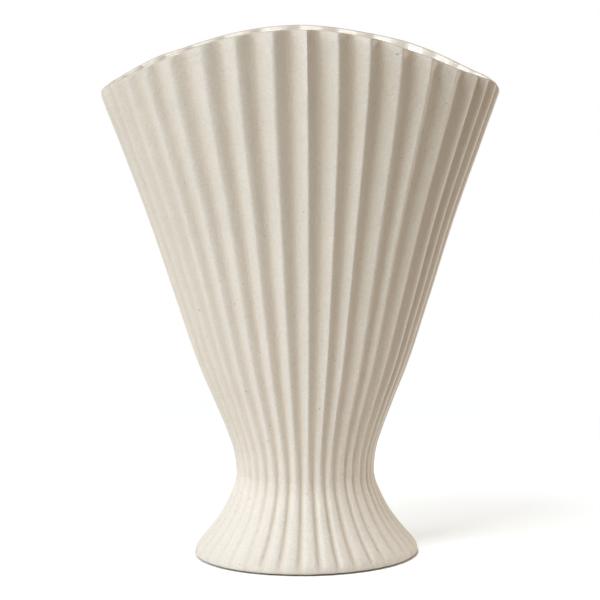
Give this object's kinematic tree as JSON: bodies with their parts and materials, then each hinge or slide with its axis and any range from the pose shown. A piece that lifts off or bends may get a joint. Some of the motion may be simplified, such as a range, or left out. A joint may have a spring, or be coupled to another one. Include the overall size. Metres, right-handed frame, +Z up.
{
  "type": "fan vase",
  "caption": "Tall fluted vase in unglazed stoneware, fan-shaped and oval in plan with an arched rim, on a narrow waist and a flared oval foot, glazed inside, standing on felt pads.",
  "frame": {"origin": "on the surface that the vase stands on, under the middle of the foot", "axes": "+Z up, +X along the width of the fan, the broad front faces -Y"},
  "size_m": [0.2234, 0.1248, 0.3],
  "materials": {
    "stoneware": "matt, unglazed, fine sandy grain with sparse small brown specks and pits",
    "inner_glaze": "glossy cream glaze",
    "felt": "dense dark grey-brown felt"
  },
  "bodies": {
    "root": {"fan": "stoneware", "foot": "stoneware", "base_slab": "stoneware", "inner_glaze": "inner_glaze", "pad_rear_right": "felt", "pad_rear_left": "felt", "pad_front_left": "felt", "pad_front_right": "felt"}
  },
  "joints": []
}
